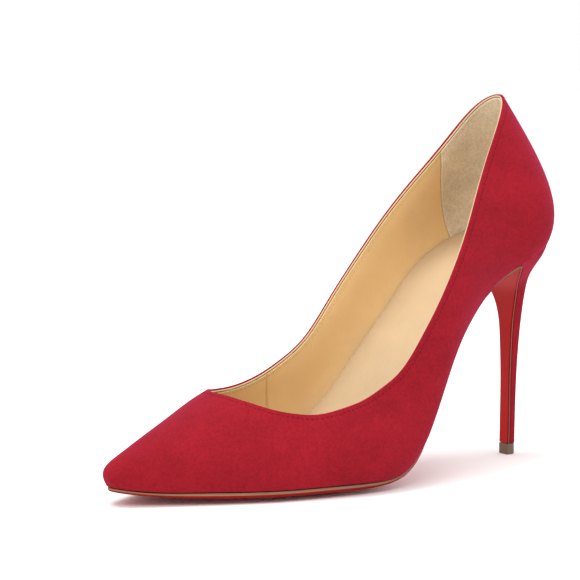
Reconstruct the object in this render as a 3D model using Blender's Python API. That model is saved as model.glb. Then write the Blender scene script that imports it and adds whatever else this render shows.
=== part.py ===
"""High heel pump, left shoe: a suede upper lasted over a stiff core, on a slim covered heel.

Design lengths are in millimetres, with x from the toe tip to the back, y towards the inner side
of the foot and z up. Each piece is moved to the part's own frame, in metres, as it is made.
"""

import math

import bmesh
import bpy
import numpy as np
from mathutils import Matrix, Vector

MM = 0.001
BOX_MIDDLE = np.array([107.709, -2.288, 0.0])
GAP = 0.3

UPPER_THICKNESS = 0.8
STIFFENER_DEPTH = 1.1
STIFFENER_THICKNESS = 0.6
LINING_DEPTH = 2.0
LINING_THICKNESS = 0.6
BOARD_LEVEL = 3.0
BOARD_THICKNESS = 1.4
FOAM_LEVEL = 4.7
FOAM_THICKNESS = 1.0
SOCK_LEVEL = 6.0
SOCK_THICKNESS = 0.8
SOLE_TOE = 1.0
SOLE_FOREPART = 2.2
SOLE_WAIST = 1.3
SOLE_FLAP = 1.0
COVER_THICKNESS = 0.5
FLARE_ALLOWANCE = 1.0
TOP_PIECE_HEIGHT = 4.7
# Share of the way to the bottom's middle line where the lasting margin has its rows.
MARGIN_SHARES = [0.3, 0.15]
# Columns this many depths from the toe tip are left out of an inner layer, where it would fold.
NOSE_CLEAR = 1.05
NOSE_END = 4
SHELL_LIMIT = 1.5
WALL_LEAN_SHARE = 0.6
WALL_STEPS = 7
TAPE_THICKNESS = 0.4
TAPE_SPAN = (7.2, 12.6)
TAPE_BAND = (0.89, 0.97)
PUFF_END = 3.8
COUNTER_START = 12.8
VAMP_END = 8.65
GRIP_START = 14.85
SEAM_HALF_GAP = 0.02
PLATE_SHARES = [0, 0.3, 0.65, 1]
CENTRE_SPAN = (14, 196)
TOE_TIP_Y = 1.6
FILLER_SHARES = [0.36, 0.6, 0.8, 1]
FILLER_END = 8.3
FILLER_NOSE = 3.0
FILLER_THICKNESS = 2.5
SHANK_SPAN = (103, 190)
SHANK_HALF_WIDTH = 5.5
SHANK_LEVEL = 1.2
SHANK_THICKNESS = 1.2
RIVET_PLACES = (110, 183)
RIVET_RADIUS = 1.2
RIVET_LEVEL = 0.4
SOLE_INSET = 0.5
WAIST_INSET = 1.6
PIN_RADIUS = 0.6
PIN_FOOT = 1.6
PIN_TOP = 14.8
BORE_RADIUS = 0.85
BORE_X = 203.0
BORE_TOP = 77
SEAT_POINT = np.array([200.5, 0, 90.7])
SEAT_SLOPE = math.atan2(9.5, 25.5)
INTO_HEEL = np.array([math.sin(SEAT_SLOPE), 0, -math.cos(SEAT_SLOPE)])
ALONG_SEAT = np.array([math.cos(SEAT_SLOPE), 0, math.sin(SEAT_SLOPE)])
NAIL_SPOTS = [(-6, 9), (-6, -9), (4.5, 7.5), (4.5, -7.5)]
SCREW_RADIUS = 1.5
SCREW_HEAD = 3
NAIL_RADIUS = 0.7
NAIL_HEAD = 1.6

# Last stations from toe tip to back: x, then y of the feather edge on the outer and inner side.
FEATHER = [
    (0, 1.5, 1.5), (1, -1.7, 4.7), (4.5, -5, 8.2), (12, -9.2, 12.6), (26, -16.4, 20.3),
    (42, -24.2, 28.5), (58, -30.9, 34.2), (74, -34.9, 36.6), (90, -37.9, 34.8),
    (106, -39, 30), (122, -37, 26), (137, -32.6, 23.8), (152, -28, 23.2), (167, -25.4, 24),
    (181, -25, 24.8), (194, -24.8, 24.8), (207.3, -19, 19), (213.5, 0, 0),
]
# Height of the feather edge against x, on the outer and the inner side.
OUTER_HEIGHT = [
    (0, 8), (12, 6.3), (30, 5.5), (50, 5.1), (75, 5), (95, 5), (107, 5.2), (117, 7.4),
    (126, 14), (136, 28.5), (147, 46.5), (158, 61.8), (167, 71.8), (176, 79.5), (188, 86),
    (200, 90.6), (213.5, 95.5),
]
INNER_HEIGHT = [
    (0, 8), (12, 6.3), (30, 5.5), (50, 5.1), (75, 5.3), (90, 6.2), (102, 9), (114, 15.5),
    (126, 26), (137, 39), (148, 51.5), (158, 61.8), (167, 71.8), (176, 79.5), (188, 86),
    (200, 90.6), (213.5, 95.5),
]
# Upper edge of the wall at the same stations: the vamp ridge up to the throat, then each side.
RIDGE = [
    (0, 1.5, 8), (-1.3, 1.7, 11.8), (0.6, 2.1, 16.2), (9, 2.8, 20.6), (22, 3.6, 26.4),
    (37, 4.5, 33), (52, 5.2, 40),
]
OUTER_TOP = [
    (66, 0.5, 47), (80, -13, 51), (97, -27, 49), (114, -35.2, 50), (128.5, -36.8, 65),
    (140.5, -35.9, 83), (152, -32.2, 101), (163, -26, 117.5), (175.5, -18.5, 134),
    (188.2, -11.2, 149.5), (196.2, 0, 157),
]
INNER_TOP = [
    (66, 9.5, 47), (80, 18, 51), (95, 24.5, 51), (111, 26.3, 56), (125, 26, 72),
    (138.5, 24.8, 89.5), (151.3, 23, 105.5), (163, 18.5, 120.5), (175.5, 13.2, 136),
    (189.1, 8.6, 151.6), (196.2, 0, 157),
]
THROAT = 6
CUT_END = 11
BACK = 17
# Stations of the mesh columns, closest at the toe, at the throat and round the back.
FRONT_COLUMNS = [0, 0.35, 0.7, 1.1, 1.6, 2.2, 3, 3.8, 4.6, 5.4, 6, 6.12, 6.3, 6.55, 6.85, 7.2, 7.7]
MIDDLE_COLUMNS = [8.3, 9, 9.7, 10.4, 11.1, 11.7, 12.2, 12.7, 13.2, 13.7, 14.2, 14.7]
BACK_COLUMNS = [15.2, 15.7, 16.1, 16.5, 16.8]
HALF_RING = FRONT_COLUMNS + MIDDLE_COLUMNS + BACK_COLUMNS
# Share of the wall kept below the topline, against the station number.
OUTER_CUT = [
    (6, 1), (6.25, 0.765), (6.56, 0.65), (7.05, 0.567), (7.7, 0.55), (8.3, 0.62), (9, 0.75),
    (9.6, 0.88), (10.2, 0.96), (11, 1),
]
INNER_CUT = [
    (6, 1), (6.2, 0.85), (6.5, 0.75), (6.9, 0.69), (7.3, 0.672), (7.8, 0.69), (8.3, 0.75),
    (9.1, 0.88), (10, 0.98), (11, 1),
]
# Wall shape at each station: outward lean at the feather edge and at the top, in degrees.
OUTER_LEAN = [20, 20, 20, 18, 14, 12, 12, 16, 24, 32, 40, 42, 40, 36, 32, 30, 30, 28]
INNER_LEAN = [20, 20, 20, 18, 14, 12, 12, 14, 18, 24, 32, 34, 34, 32, 30, 30, 30, 28]
OUTER_CROWN = [90, 90, 90, 90, 90, 90, 90, 76, 55, 32, 14, 8, 8, 14, 22, 30, 36, 34]
INNER_CROWN = [90, 90, 90, 90, 90, 90, 90, 70, 45, 25, 12, 8, 8, 12, 20, 28, 36, 34]
LOWER_PULL = [0.4, 0.4, 0.4, 0.4, 0.4, 0.4, 0.4, 0.4, 0.4, 0.38, 0.36] + [0.34] * 7
UPPER_PULL = [0.5, 0.5, 0.5, 0.48, 0.46, 0.44, 0.42, 0.4, 0.38] + [0.36] * 9
# Downward crown of the bottom between its two edges, against x.
BOTTOM_CROWN = [(0, 0.2), (20, 1.2), (55, 2.75), (95, 2.85), (120, 1.6), (150, 0.8), (188, 0.2),
                (213.5, 0)]
# Heel levels from seat to tip: front x and z, half width, back x and z.
HEEL = [
    (188, 86, 24.9, 213.5, 95.5), (191.6, 81.6, 19.5, 210.9, 89.5),
    (195.8, 76.4, 12.8, 209.6, 83), (199, 71, 8.2, 209, 76), (200.3, 61.5, 5, 208.4, 64),
    (200.5, 50, 3.7, 207.3, 51), (200.5, 35, 3.05, 206.3, 35.5), (200.4, 20, 2.95, 205.7, 20),
    (200.2, 5, 2.9, 205.4, 5),
]
BREAST_X = 188.0
FRONT_SHARE = 0.3
FLAT_SHARE = 0.4

SUEDE = ((0.42, 0.016, 0.024), 0.9, 0.0)
LACQUER = ((0.45, 0.018, 0.014), 0.25, 0.0)
TAN_LEATHER = ((0.80, 0.54, 0.30), 0.55, 0.0)
PALE_LEATHER = ((0.52, 0.37, 0.24), 0.8, 0.0)
STIFFENER = ((0.75, 0.72, 0.66), 0.8, 0.0)
BOARD = ((0.42, 0.30, 0.18), 0.85, 0.0)
CORK = ((0.45, 0.29, 0.16), 0.9, 0.0)
FOAM = ((0.85, 0.82, 0.70), 0.95, 0.0)
STEEL = ((0.62, 0.62, 0.62), 0.35, 1.0)
ABS = ((0.75, 0.73, 0.68), 0.5, 0.0)
RUBBER = ((0.12, 0.075, 0.045), 0.6, 0.0)


def spline(knots, values, start=None, end=None):
    """Cubic spline through values, natural at an end unless its slope is given."""
    knots = np.asarray(knots, float)
    values = np.asarray(values, float).reshape(len(knots), -1)
    step = np.diff(knots)[:, None]
    slope = np.diff(values, axis=0) / step
    size = len(knots)
    matrix = np.eye(size)
    right = np.zeros_like(values)
    for i in range(1, size - 1):
        before, after = step[i - 1, 0], step[i, 0]
        matrix[i, i - 1:i + 2] = (before, 2 * (before + after), after)
        right[i] = 6 * (slope[i] - slope[i - 1])
    if start is not None:
        matrix[0, :2] = (2, 1)
        right[0] = 6 * (slope[0] - np.asarray(start, float)) / step[0]
    if end is not None:
        matrix[-1, -2:] = (1, 2)
        right[-1] = 6 * (np.asarray(end, float) - slope[-1]) / step[-1]
    bend = np.linalg.solve(matrix, right)

    def at(where):
        where = np.atleast_1d(np.asarray(where, float))
        i = np.clip(np.searchsorted(knots, where) - 1, 0, size - 2)
        width = step[i]
        a = (knots[i + 1] - where)[:, None] / width
        b = (where - knots[i])[:, None] / width
        curve = (a ** 3 - a) * bend[i] + (b ** 3 - b) * bend[i + 1]
        return a * values[i] + b * values[i + 1] + curve * width ** 2 / 6

    return at


def smooth_step(value, low, high):
    share = np.clip((value - low) / (high - low), 0, 1)
    return share * share * (3 - 2 * share)


def unit(vectors):
    length = np.linalg.norm(vectors, axis=-1, keepdims=True)
    return vectors / np.maximum(length, 1e-9)


class Side:
    """One side of the last: sign is -1 on the outer side and +1 on the inner side."""

    def __init__(self, sign, height, cut, lean, crown):
        stations = np.arange(BACK + 1)
        column = 1 if sign < 0 else 2
        edge = [(row[0], row[column]) for row in FEATHER]
        self.sign = sign
        self.edge = spline(stations, edge, (0, 3.4 * sign), (0, -22 * sign))
        self.height = spline(*zip(*height))
        self.cut = spline(*zip(*cut), end=0)
        self.lean = spline(stations, np.radians(lean), 0, 0)
        self.crown = spline(stations, np.radians(crown), 0, 0)

    def feather(self, u):
        flat = self.edge(u)
        return np.hstack([flat, self.height(flat[:, 0])])

    def outward(self, u):
        along = unit(self.edge(np.clip(u + 1e-4, 0, BACK)) - self.edge(np.clip(u - 1e-4, 0, BACK)))
        normal = np.stack([along[:, 1], -along[:, 0], np.zeros(len(u))], 1)
        return -self.sign * normal

    def top(self, u):
        return MIDDLE_TOP(u) - self.sign * np.where(u[:, None] > THROAT, HALF_SPREAD(u), 0)

    def kept(self, u):
        share = self.cut(np.clip(u, THROAT, CUT_END))[:, 0]
        return np.where(u <= THROAT, 1, np.clip(share, 0, 1))

    def wall(self, u, v):
        """Points of the outside face, for stations u and a table of wall shares v."""
        low, high = self.feather(u), self.top(u)
        out = self.outward(u)
        chord = high - low
        length = np.linalg.norm(chord, axis=1, keepdims=True)
        rise = chord - (chord * out).sum(1, keepdims=True) * out
        rise = np.where(length > 1e-6, unit(rise), [[0, 0, 1]])
        turn = smooth_step(u, THROAT, CUT_END)[:, None]
        across = unit((1 - turn) * np.array([[0, self.sign, 0]]) + turn * out)
        lean, crown = self.lean(u), self.crown(u)
        first = low + LOWER(u) * length * (np.cos(lean) * rise + np.sin(lean) * out)
        last = high + UPPER(u) * length * (np.sin(crown) * across - np.cos(crown) * rise)
        v = v[:, :, None]
        return (
            (1 - v) ** 3 * low[:, None] + 3 * v * (1 - v) ** 2 * first[:, None]
            + 3 * v ** 2 * (1 - v) * last[:, None] + v ** 3 * high[:, None]
        )


OUTER = Side(-1, OUTER_HEIGHT, OUTER_CUT, OUTER_LEAN, OUTER_CROWN)
INNER = Side(1, INNER_HEIGHT, INNER_CUT, INNER_LEAN, INNER_CROWN)
LOWER = spline(np.arange(BACK + 1), LOWER_PULL, 0, 0)
UPPER = spline(np.arange(BACK + 1), UPPER_PULL, 0, 0)
CROWN = spline(*zip(*BOTTOM_CROWN))
OUTER_EDGE = np.array(RIDGE + OUTER_TOP, float)
INNER_EDGE = np.array(RIDGE + INNER_TOP, float)
MIDDLE_TOP = spline(np.arange(BACK + 1), (OUTER_EDGE + INNER_EDGE) / 2, (0, 0, 4.2), (0, 0, 0))
HALF_SPREAD = spline(
    np.arange(THROAT, BACK + 1), (OUTER_EDGE - INNER_EDGE)[THROAT:] / 2, (0, 0, 0), (0, 12, 0)
)
HEEL_LEVEL = spline(np.arange(len(HEEL)), HEEL)



def ring(start, stop):
    """Places round the shoe: 0 at the toe, up to 17 at the back outside, negative inside.

    A patch that crosses the back goes on past 17 and down the inner side.
    """
    marks = [-mark for mark in HALF_RING] + HALF_RING + [BACK]
    marks += [2 * BACK - mark for mark in HALF_RING]
    inside = [mark for mark in sorted(set(marks)) if start < mark < stop]
    return [start] + inside + [stop]


def side_of(place):
    """The side and its own station for a place round the ring."""
    if place > BACK:
        return INNER, np.array([2.0 * BACK - place])
    if place < 0:
        return INNER, np.array([-float(place)])
    return OUTER, np.array([float(place)])


def centre_of(u):
    """The bottom's middle line at stations u, kept short of both ends."""
    middle = (OUTER.edge(u) + INNER.edge(u)) / 2
    x = np.clip(middle[:, 0], *CENTRE_SPAN)
    y = np.where(middle[:, 0] < CENTRE_SPAN[0], TOE_TIP_Y, middle[:, 1])
    z = (OUTER.height(x) + INNER.height(x)) / 2
    return np.stack([x, y, z[:, 0]], 1)


def bottom_row(place, inset, shares):
    """Points of the bottom face, from an edge inside the feather edge to the middle line."""
    side, u = side_of(place)
    edge, centre = side.feather(u), centre_of(u)
    first = inset / np.linalg.norm(centre - edge)
    share = first + (1 - first) * np.asarray(shares, float)[:, None]
    row = edge + share * (centre - edge)
    row[:, 2:] -= CROWN(row[:, 0]) * (1 - (1 - share) ** 2)
    return row


def wall_row(place, margin, low, high, steps):
    """One column of the lasted upper: the turned-in margin, then the wall up to the topline."""
    side, u = side_of(place)
    v = (low + (high - low) * np.linspace(0, 1, steps + 1)) * side.kept(u)[0]
    row = side.wall(u, v[None])[0]
    return np.vstack([bottom_row(place, 0, margin), row]) if margin else row


def grid_mesh(rows):
    """A bmesh grid laid on a table of points in design millimetres, with its seams joined."""
    rows = np.asarray(rows)
    mesh = bmesh.new()
    bmesh.ops.create_grid(
        mesh, x_segments=rows.shape[1] - 1, y_segments=rows.shape[0] - 1, size=1
    )
    mesh.verts.ensure_lookup_table()
    for vert, point in zip(mesh.verts, rows.reshape(-1, 3)):
        vert.co = (point - BOX_MIDDLE) * MM
    bmesh.ops.remove_doubles(mesh, verts=mesh.verts, dist=0.00002)
    bmesh.ops.dissolve_degenerate(mesh, edges=mesh.edges, dist=0.00001)
    return mesh


def sink(mesh, depth):
    """Move an open sheet against its normals, keeping the distance at folds."""
    mesh.normal_update()
    moves = [(vert, vert.normal * min(vert.calc_shell_factor(), SHELL_LIMIT)) for vert in mesh.verts]
    for vert, direction in moves:
        vert.co -= direction * depth * MM


def material(name, finish):
    found = bpy.data.materials.get(name)
    if found:
        return found
    colour, roughness, metallic = finish
    made = bpy.data.materials.new(name)
    made.use_nodes = True
    shader = made.node_tree.nodes["Principled BSDF"]
    shader.inputs["Base Color"].default_value = (*colour, 1)
    shader.inputs["Roughness"].default_value = roughness
    shader.inputs["Metallic"].default_value = metallic
    made.diffuse_color = (*colour, 1)
    return made


def finish_object(name, mesh, slot, finish):
    data = bpy.data.meshes.new(name)
    mesh.to_mesh(data)
    mesh.free()
    data.materials.append(material(slot, finish))
    data.shade_smooth()
    data.set_sharp_from_angle(angle=math.radians(40))
    made = bpy.data.objects.new(name, data)
    bpy.context.scene.collection.objects.link(made)
    return made


def thicken(made, thickness, weights=None):
    """Give a sheet its thickness, on the side away from its normals."""
    solid = made.modifiers.new("thickness", "SOLIDIFY")
    solid.thickness = thickness * MM
    solid.offset = -1
    solid.use_even_offset = True
    if weights is not None:
        group = made.vertex_groups.new(name="thickness")
        for index, weight in enumerate(weights):
            group.add([index], float(weight), "REPLACE")
        solid.vertex_group = group.name
    return made


def lasted(name, slot, finish, depth, thickness, patch):
    """A piece of the lasted upper: a patch at a depth under its outside, given a thickness.

    The patch is (start, stop, margin, low, high, steps): its places round the ring, its margin
    and the share of the wall that it covers.
    """
    start, stop, margin, low, high, steps = patch
    places = [p for p in ring(start, stop) if not 0 < abs(p) < NOSE_CLEAR * depth]
    mesh = grid_mesh([wall_row(p, margin, low, high, steps) for p in places])
    bmesh.ops.reverse_faces(mesh, faces=mesh.faces)
    sink(mesh, depth)
    return thicken(finish_object(name, mesh, slot, finish), thickness)


def plate_inset(place, level):
    """How far a plate's edge stands inside the feather edge: the wall leans out above it."""
    side, u = side_of(place)
    clear = LINING_DEPTH + LINING_THICKNESS + 2 * GAP
    nose = level * (1 - smooth_step(u[0], 1, NOSE_END))
    return clear + nose - WALL_LEAN_SHARE * level * math.tan(side.lean(u)[0, 0])


def plate(name, slot, finish, level, thickness):
    """A full-length plate that follows the bottom, at a level above it."""
    rows = [bottom_row(p, plate_inset(p, level), PLATE_SHARES) for p in ring(-BACK, BACK)]
    mesh = grid_mesh(rows)
    sink(mesh, level)
    return thicken(finish_object(name, mesh, slot, finish), thickness)


def cylinder(mesh, foot, axis, radius, length, sides=10):
    """Add a cylinder to a bmesh, from its foot along an axis, in design millimetres."""
    axis = unit(np.asarray(axis, float))
    middle = (np.asarray(foot, float) + axis * length / 2 - BOX_MIDDLE) * MM
    turn = Vector(axis).to_track_quat("Z", "Y").to_matrix().to_4x4()
    bmesh.ops.create_cone(
        mesh, cap_ends=True, segments=sides, radius1=radius * MM, radius2=radius * MM,
        depth=length * MM, matrix=Matrix.Translation(middle) @ turn,
    )


def turned(foot, axis, profile, sides=10):
    """A turned solid: profile is (radius, distance along the axis) from its foot to its end."""
    mesh = bmesh.new()
    points = [(0, profile[0][1])] + profile + [(0, profile[-1][1])]
    verts = [mesh.verts.new((radius * MM, 0, along * MM)) for radius, along in points]
    edges = [mesh.edges.new(pair) for pair in zip(verts, verts[1:])]
    bmesh.ops.spin(
        mesh, geom=verts + edges, cent=(0, 0, 0), axis=(0, 0, 1), angle=math.tau, steps=sides,
        use_merge=True,
    )
    bmesh.ops.remove_doubles(mesh, verts=mesh.verts, dist=0.00001)
    turn = Vector(axis).to_track_quat("Z", "Y").to_matrix().to_4x4()
    place = Matrix.Translation((np.asarray(foot, float) - BOX_MIDDLE) * MM)
    bmesh.ops.transform(mesh, matrix=place @ turn, verts=mesh.verts)
    bmesh.ops.recalc_face_normals(mesh, faces=mesh.faces)
    return mesh


def heel_outline(level, front, shrink, turns):
    """D-shaped outline of a heel level, from the outer front corner round the back."""
    front_x, front_z, half, back_x, back_z = HEEL_LEVEL(level)[0]
    around = np.linspace(-1, 1, 2 * turns + 1)
    size = np.abs(around)
    angle = np.clip(size / (1 - FRONT_SHARE), 0, 1) * math.pi / 2
    depth = np.where(
        size > 1 - FRONT_SHARE,
        (1 - size) / FRONT_SHARE * FLAT_SHARE,
        FLAT_SHARE + (1 - FLAT_SHARE) * np.cos(angle),
    )
    length = back_x - front_x
    depth = front / length + (1 - (front + shrink) / length) * depth
    return np.stack([
        front_x + length * depth,
        np.sin(angle) * np.sign(around) * (half - shrink),
        front_z + (back_z - front_z) * depth,
    ], 1)


def loft(rings):
    """A closed bmesh through a list of closed outlines, capped at both ends."""
    mesh = bmesh.new()
    loops = []
    for outline in rings:
        verts = [mesh.verts.new((point - BOX_MIDDLE) * MM) for point in outline]
        loops.append([mesh.edges.new(pair) for pair in zip(verts, verts[1:] + verts[:1])])
    for lower, upper in zip(loops, loops[1:]):
        bmesh.ops.bridge_loops(mesh, edges=lower + upper)
    bmesh.ops.edgeloop_fill(mesh, edges=loops[0])
    bmesh.ops.edgeloop_fill(mesh, edges=loops[-1])
    bmesh.ops.triangulate(mesh, faces=[face for face in mesh.faces if len(face.verts) > 4])
    bmesh.ops.recalc_face_normals(mesh, faces=mesh.faces)
    return mesh


def cutter(name, mesh):
    made = finish_object(name, mesh, "cutter", STEEL)
    made.hide_render = True
    made.display_type = "WIRE"
    return made


def subtract(made, tool):
    boolean = made.modifiers.new(tool.name, "BOOLEAN")
    boolean.operation = "DIFFERENCE"
    boolean.object = tool


def settle(made, floor=None):
    """Fix an object's modifiers into its mesh, and flatten what would sink below the floor."""
    graph = bpy.context.evaluated_depsgraph_get()
    fixed = bpy.data.meshes.new_from_object(made.evaluated_get(graph))
    made.modifiers.clear()
    made.data = fixed
    if floor is not None:
        for vert in fixed.vertices:
            vert.co.z = max(vert.co.z, floor * MM)


def build_upper():
    margin, steps = MARGIN_SHARES, WALL_STEPS
    lasted("upper_suede", "suede", SUEDE, 0, UPPER_THICKNESS, (-BACK, BACK, margin, 0, 1, steps))
    puff = (-PUFF_END, PUFF_END, margin, 0, 1, steps)
    counter = (COUNTER_START, 2 * BACK - COUNTER_START, margin, 0, 1 - 1 / steps, steps - 1)
    for name, patch in (("toe_puff", puff), ("heel_counter", counter)):
        lasted(name, "stiffener", STIFFENER, STIFFENER_DEPTH, STIFFENER_THICKNESS, patch)
    start, stop = TAPE_SPAN
    for side, ends in (("outer", (start, stop)), ("inner", (-stop, -start))):
        patch = (*ends, None, *TAPE_BAND, 1)
        name = f"{side}_topline_tape"
        lasted(name, "tape", STIFFENER, STIFFENER_DEPTH, TAPE_THICKNESS, patch)


def build_linings():
    margin, steps = MARGIN_SHARES, WALL_STEPS
    spans = [
        ("vamp_lining", TAN_LEATHER, -VAMP_END, VAMP_END),
        ("outer_quarter_lining", TAN_LEATHER, VAMP_END, GRIP_START),
        ("inner_quarter_lining", TAN_LEATHER, -GRIP_START, -VAMP_END),
        ("heel_grip_lining", PALE_LEATHER, GRIP_START, 2 * BACK - GRIP_START),
    ]
    for name, finish, start, stop in spans:
        slot = "pale_lining" if finish is PALE_LEATHER else "tan_leather"
        patch = (start + SEAM_HALF_GAP, stop - SEAM_HALF_GAP, margin, 0, 1, steps)
        lasted(name, slot, finish, LINING_DEPTH, LINING_THICKNESS, patch)


def build_insole():
    """The insole board and what lies on it, and the shank and filler under it."""
    board = plate("insole_board", "board", BOARD, BOARD_LEVEL, BOARD_THICKNESS)
    foam = plate("sock_foam", "foam", FOAM, FOAM_LEVEL, FOAM_THICKNESS)
    plate("sock_lining", "tan_leather", TAN_LEATHER, SOCK_LEVEL, SOCK_THICKNESS)
    rows = []
    for place in ring(-FILLER_END, FILLER_END):
        inset = FILLER_NOSE * (1 - smooth_step(abs(place), 1, NOSE_END))
        rows.append(bottom_row(place, inset, FILLER_SHARES))
    mesh = grid_mesh(rows)
    thicken(finish_object("bottom_filler", mesh, "cork", CORK), FILLER_THICKNESS)
    return board, foam


def shank_point(x, y=0.0):
    """A point of the bottom face beside the middle line, for a place along the shoe."""
    u = np.array([np.interp(x, [row[0] for row in FEATHER], np.arange(BACK + 1))])
    centre = centre_of(u)[0]
    edge = (OUTER if y < 0 else INNER).feather(u)[0]
    share = abs(y) / abs(edge[1] - centre[1])
    return centre + share * (edge - centre) - (0, 0, CROWN(x)[0, 0] * (1 - share ** 2))


def build_shank(board):
    """Steel strip that holds the arch, riveted to the insole board near both ends."""
    rows = []
    for x in np.linspace(*SHANK_SPAN, 13):
        rows.append([shank_point(x, y) for y in (-SHANK_HALF_WIDTH, 0, SHANK_HALF_WIDTH)])
    mesh = grid_mesh(rows)
    sink(mesh, SHANK_LEVEL)
    shank = thicken(finish_object("shank", mesh, "steel", STEEL), SHANK_THICKNESS)
    holes = bmesh.new()
    for x, end in zip(RIVET_PLACES, ("front", "rear")):
        along = shank_point(x + 1) - shank_point(x - 1)
        up = unit(np.cross(along, shank_point(x, 1) - shank_point(x, -1)))
        foot = shank_point(x)
        length = BOARD_LEVEL + BOARD_THICKNESS - RIVET_LEVEL
        rivet = bmesh.new()
        cylinder(rivet, foot + RIVET_LEVEL * up, up, RIVET_RADIUS, length)
        finish_object(f"{end}_shank_rivet", rivet, "steel", STEEL)
        cylinder(holes, foot - 1 * up, up, RIVET_RADIUS + GAP, length + 4)
    tool = cutter("rivet_holes", holes)
    subtract(shank, tool)
    subtract(board, tool)


def sole_thickness(x):
    toe, waist, flap = smooth_step(x, -5, 40), smooth_step(x, 85, 125), smooth_step(x, 186, 196)
    steps = (SOLE_FOREPART - SOLE_TOE, SOLE_WAIST - SOLE_FOREPART, SOLE_FLAP - SOLE_WAIST)
    return SOLE_TOE + toe * steps[0] + waist * steps[1] + flap * steps[2]


def build_outsole(levels=15):
    """Leather sole from the toe to the breast, and on down the front of the heel as a flap."""
    shares = [0, 0.25, 0.5, 0.75, 1]
    breast = float(np.interp(BREAST_X, [row[0] for row in FEATHER], np.arange(BACK + 1))) - 0.1
    rows = []
    for u in [mark for mark in HALF_RING if mark < breast - 0.2] + [breast]:
        waist = smooth_step(u, 9.5, 11.5) * (1 - smooth_step(u, 13, 14.3))
        inset = SOLE_INSET + waist * WAIST_INSET
        inner = bottom_row(-u, inset, shares)
        outer = bottom_row(u, inset, shares)
        rows.append(np.vstack([inner, outer[-2::-1]]))
    for level in np.linspace(0.5, len(HEEL) - 1, levels):
        front_x, front_z, half = HEEL_LEVEL(level)[0, :3]
        y = np.linspace(half, -half, 2 * len(shares) - 1)
        rows.append(np.stack([0 * y + front_x + SOLE_FLAP + GAP, y, 0 * y + front_z], 1))
    mesh = grid_mesh(rows)
    sink(mesh, GAP)
    thickness = [sole_thickness(vert.co.x / MM + BOX_MIDDLE[0]) for vert in mesh.verts]
    made = finish_object("outsole", mesh, "red_sole", LACQUER)
    thicken(made, SOLE_FOREPART, np.array(thickness) / SOLE_FOREPART)
    settle(made, floor=0)


def build_heel():
    """Moulded core in its suede cover, with a steel rod down the bore."""
    front = SOLE_FLAP + 1.5 * GAP
    tip = len(HEEL) - 1
    rows = [heel_outline(level, front, 0, 8) for level in np.linspace(0.1, tip, 17)]
    cover = grid_mesh(rows)
    bmesh.ops.reverse_faces(cover, faces=cover.faces)
    thicken(finish_object("heel_cover", cover, "suede", SUEDE), COVER_THICKNESS)
    core_rings = []
    for level in np.linspace(0.15, tip, 15):
        flare = FLARE_ALLOWANCE * (1 - smooth_step(level, 2, 4.5))
        core_rings.append(heel_outline(level, front, COVER_THICKNESS + GAP + flare, 8))
    core = finish_object("heel_core", loft(core_rings), "abs", ABS)
    bore = bmesh.new()
    cylinder(bore, (BORE_X, 0, 0), (0, 0, 1), BORE_RADIUS, BORE_TOP)
    subtract(core, cutter("heel_bore", bore))
    bar = bmesh.new()
    cylinder(bar, (BORE_X, 0, PIN_TOP + GAP), (0, 0, 1), PIN_RADIUS, BORE_TOP - PIN_TOP - 3 * GAP)
    finish_object("heel_rod", bar, "steel", STEEL)
    return core


def build_top_piece():
    """Wear tip under the heel and the dowel pin that holds it in the bore."""
    outline = heel_outline(len(HEEL) - 1, 0, 0, 6)
    rings = [outline * (1, 1, 0) + (0, 0, z) for z in (0, TOP_PIECE_HEIGHT)]
    piece = finish_object("top_piece", loft(rings), "rubber", RUBBER)
    hole, pin = bmesh.new(), bmesh.new()
    cylinder(hole, (BORE_X, 0, PIN_FOOT - GAP), (0, 0, 1), BORE_RADIUS, TOP_PIECE_HEIGHT)
    subtract(piece, cutter("pin_hole", hole))
    cylinder(pin, (BORE_X, 0, PIN_FOOT), (0, 0, 1), PIN_RADIUS, PIN_TOP - PIN_FOOT)
    finish_object("top_piece_pin", pin, "steel", STEEL)


def seat_spot(along, across, above):
    """A place on the heel seat: along and across it, and above it, square to its plane."""
    return SEAT_POINT + along * ALONG_SEAT + np.array([0, across, 0]) - above * INTO_HEEL


def headed(spot, radius, head_radius, head_height, length):
    """A screw or nail with its head on the insole board, running down into the heel."""
    profile = [
        (head_radius, 0), (head_radius, head_height), (radius, head_height),
        (radius, head_height + length - 1), (radius * 0.4, head_height + length),
    ]
    return turned(seat_spot(*spot, FOAM_LEVEL + 0.2 + head_height), INTO_HEEL, profile)


def build_fasteners(core, board, foam):
    """Screw and nails that hold the heel on, driven from inside through the insole board."""
    shafts, heads = bmesh.new(), bmesh.new()
    screw = headed((0, 0), SCREW_RADIUS, SCREW_HEAD, 0.8, 13)
    finish_object("heel_screw", screw, "steel", STEEL)
    cylinder(shafts, seat_spot(0, 0, 6), INTO_HEEL, SCREW_RADIUS + GAP, 16)
    cylinder(heads, seat_spot(0, 0, 8), INTO_HEEL, SCREW_HEAD + GAP, 5)
    for number, spot in enumerate(NAIL_SPOTS, 1):
        nail = headed(spot, NAIL_RADIUS, NAIL_HEAD, 0.6, 9)
        finish_object(f"heel_nail_{number}", nail, "steel", STEEL)
        cylinder(shafts, seat_spot(*spot, 6), INTO_HEEL, NAIL_RADIUS + GAP, 12)
        cylinder(heads, seat_spot(*spot, 8), INTO_HEEL, NAIL_HEAD + GAP, 5)
    shaft_tool = cutter("fastener_shafts", shafts)
    subtract(core, shaft_tool)
    subtract(board, shaft_tool)
    subtract(foam, cutter("fastener_heads", heads))


def main():
    for old in list(bpy.data.objects):
        bpy.data.objects.remove(old)
    build_upper()
    build_linings()
    board, foam = build_insole()
    build_shank(board)
    build_outsole()
    core = build_heel()
    build_top_piece()
    build_fasteners(core, board, foam)


if __name__ == "__main__":
    main()
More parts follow.
